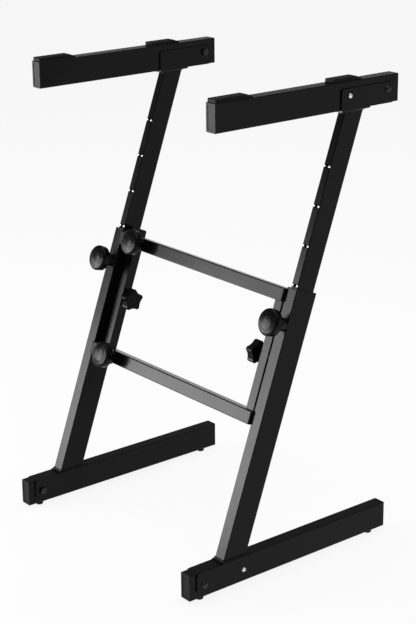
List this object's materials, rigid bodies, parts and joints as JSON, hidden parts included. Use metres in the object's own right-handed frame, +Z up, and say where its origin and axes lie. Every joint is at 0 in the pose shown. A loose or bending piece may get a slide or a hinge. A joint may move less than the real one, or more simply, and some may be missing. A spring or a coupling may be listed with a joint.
{
  "type": "folding keyboard stand",
  "caption": "Z-shaped folding stand with telescopic legs, a sliding centre frame, padded arms and pull-pin knobs.",
  "frame": {"origin": "middle of the stand's footprint, on the floor", "axes": "+X from the left side to the right side, +Y from the front to the back, +Z up"},
  "size_m": [0.565, 0.4848, 0.8968],
  "materials": {
    "frame_paint": "gloss black powder coat",
    "moulded_plastic": "satin black",
    "knob_plastic": "gloss black",
    "rubber": "matte black",
    "nickel": "bright nickel plate",
    "black_zinc": "satin black zinc plate",
    "zinc_steel": "bright zinc plate",
    "spring_steel": "oiled"
  },
  "bodies": {
    "centre_frame": {"crossbars": "frame_paint", "crossbar_plugs": "moulded_plastic", "right_post": "frame_paint", "right_hinge_pins": "zinc_steel", "width_catches": "black_zinc"},
    "left_carriage": {"left_post": "frame_paint", "left_post_plugs": "moulded_plastic", "width_bars": "frame_paint", "bar_covers": "moulded_plastic", "left_hinge_pins": "zinc_steel"},
    "upper_width_pull": {"upper_width_pin": "zinc_steel", "upper_width_knob": "knob_plastic"},
    "lower_width_pull": {"lower_width_pin": "zinc_steel", "lower_width_knob": "knob_plastic"},
    "right_leg": {"right_outer_leg": "frame_paint", "right_foot_bracket": "frame_paint", "right_foot_pivot": "black_zinc", "right_leg_sleeve": "moulded_plastic", "right_height_catch": "black_zinc"},
    "right_foot": {"right_foot": "frame_paint", "right_foot_caps": "moulded_plastic", "right_rubber_feet": "rubber", "right_foot_button_spring": "spring_steel"},
    "right_mast": {"right_inner_leg": "frame_paint", "right_leg_glide": "moulded_plastic", "right_arm_bracket": "frame_paint", "right_arm_pivot": "black_zinc"},
    "right_arm": {"right_arm": "frame_paint", "right_arm_caps": "moulded_plastic", "right_arm_pads": "rubber", "right_arm_button_spring": "spring_steel"},
    "right_foot_button": {"right_foot_button": "nickel"},
    "right_arm_button": {"right_arm_button": "nickel"},
    "right_height_pull": {"right_height_pin": "zinc_steel", "right_height_knob": "knob_plastic"},
    "right_star_screw": {"right_star_stud": "black_zinc"},
    "right_star_knob": {"right_star_knob": "knob_plastic"},
    "left_leg": {"left_outer_leg": "frame_paint", "left_foot_bracket": "frame_paint", "left_foot_pivot": "black_zinc", "left_leg_sleeve": "moulded_plastic", "left_height_catch": "black_zinc"},
    "left_foot": {"left_foot": "frame_paint", "left_foot_caps": "moulded_plastic", "left_rubber_feet": "rubber", "left_foot_button_spring": "spring_steel"},
    "left_mast": {"left_inner_leg": "frame_paint", "left_leg_glide": "moulded_plastic", "left_arm_bracket": "frame_paint", "left_arm_pivot": "black_zinc"},
    "left_arm": {"left_arm": "frame_paint", "left_arm_caps": "moulded_plastic", "left_arm_pads": "rubber", "left_arm_button_spring": "spring_steel"},
    "left_foot_button": {"left_foot_button": "nickel"},
    "left_arm_button": {"left_arm_button": "nickel"},
    "left_height_pull": {"left_height_pin": "zinc_steel", "left_height_knob": "knob_plastic"},
    "left_star_screw": {"left_star_stud": "black_zinc"},
    "left_star_knob": {"left_star_knob": "knob_plastic"}
  },
  "joints": [
    {"name": "width", "type": "slide", "parent": "centre_frame", "child": "left_carriage", "axis": [-1, 0, 0], "range_m": [0, 0.1]},
    {"name": "upper_width_pull", "type": "slide", "parent": "centre_frame", "child": "upper_width_pull", "axis": [0, -0.9415, 0.3371], "range_m": [0, 0.0055], "stiffness_N_per_m": 1200, "springref_m": -0.004},
    {"name": "lower_width_pull", "type": "slide", "parent": "centre_frame", "child": "lower_width_pull", "axis": [0, -0.9415, 0.3371], "range_m": [0, 0.0055], "stiffness_N_per_m": 1200, "springref_m": -0.004},
    {"name": "right_leg_fold", "type": "hinge", "parent": "centre_frame", "child": "right_leg", "pos_m": [0.241, -0.01466, 0.40526], "axis": [0, 0.3371, 0.9415], "range_deg": [0, 90]},
    {"name": "right_foot_fold", "type": "hinge", "parent": "right_leg", "child": "right_foot", "pos_m": [0.2575, -0.2118, 0.033], "axis": [-1, 0, 0], "range_deg": [0, 289.7]},
    {"name": "right_height", "type": "slide", "parent": "right_leg", "child": "right_mast", "axis": [0, 0.3371, 0.9415], "range_m": [-0.288, 0.072]},
    {"name": "right_arm_fold", "type": "hinge", "parent": "right_mast", "child": "right_arm", "pos_m": [0.2575, 0.21372, 0.8648], "axis": [-1, 0, 0], "range_deg": [0, 289.7]},
    {"name": "right_foot_button_press", "type": "slide", "parent": "right_leg", "child": "right_foot_button", "axis": [-1, 0, 0], "range_m": [0, 0.0045], "stiffness_N_per_m": 800, "springref_m": -0.003},
    {"name": "right_arm_button_press", "type": "slide", "parent": "right_mast", "child": "right_arm_button", "axis": [-1, 0, 0], "range_m": [0, 0.0045], "stiffness_N_per_m": 800, "springref_m": -0.003},
    {"name": "right_height_pull", "type": "slide", "parent": "right_leg", "child": "right_height_pull", "axis": [0, -0.9415, 0.3371], "range_m": [0, 0.009], "stiffness_N_per_m": 1200, "springref_m": -0.004},
    {"name": "right_star_travel", "type": "slide", "parent": "centre_frame", "child": "right_star_screw", "axis": [-1, 0, 0], "range_m": [0, 0.00375]},
    {"name": "right_star_turn", "type": "hinge", "parent": "right_star_screw", "child": "right_star_knob", "pos_m": [0.2235, -0.02973, 0.41065], "axis": [-1, 0, 0], "range_deg": [0, 1080]},
    {"name": "left_leg_fold", "type": "hinge", "parent": "left_carriage", "child": "left_leg", "pos_m": [-0.241, 0.00134, 0.39953], "axis": [0, -0.3371, -0.9415], "range_deg": [0, 90]},
    {"name": "left_foot_fold", "type": "hinge", "parent": "left_leg", "child": "left_foot", "pos_m": [-0.2575, -0.2118, 0.033], "axis": [-1, 0, 0], "range_deg": [0, 289.7]},
    {"name": "left_height", "type": "slide", "parent": "left_leg", "child": "left_mast", "axis": [0, 0.3371, 0.9415], "range_m": [-0.288, 0.072]},
    {"name": "left_arm_fold", "type": "hinge", "parent": "left_mast", "child": "left_arm", "pos_m": [-0.2575, 0.21372, 0.8648], "axis": [-1, 0, 0], "range_deg": [0, 289.7]},
    {"name": "left_foot_button_press", "type": "slide", "parent": "left_leg", "child": "left_foot_button", "axis": [1, 0, 0], "range_m": [0, 0.0045], "stiffness_N_per_m": 800, "springref_m": -0.003},
    {"name": "left_arm_button_press", "type": "slide", "parent": "left_mast", "child": "left_arm_button", "axis": [1, 0, 0], "range_m": [0, 0.0045], "stiffness_N_per_m": 800, "springref_m": -0.003},
    {"name": "left_height_pull", "type": "slide", "parent": "left_leg", "child": "left_height_pull", "axis": [0, -0.9415, 0.3371], "range_m": [0, 0.009], "stiffness_N_per_m": 1200, "springref_m": -0.004},
    {"name": "left_star_travel", "type": "slide", "parent": "left_carriage", "child": "left_star_screw", "axis": [1, 0, 0], "range_m": [0, 0.00375]},
    {"name": "left_star_turn", "type": "hinge", "parent": "left_star_screw", "child": "left_star_knob", "pos_m": [-0.216, -0.01372, 0.40492], "axis": [1, 0, 0], "range_deg": [0, 1080]}
  ],
  "couplings": [
    {"joint": "right_star_travel", "follows": "right_star_turn", "m_per_rad": 0.00019894},
    {"joint": "left_star_travel", "follows": "left_star_turn", "m_per_rad": 0.00019894}
  ]
}
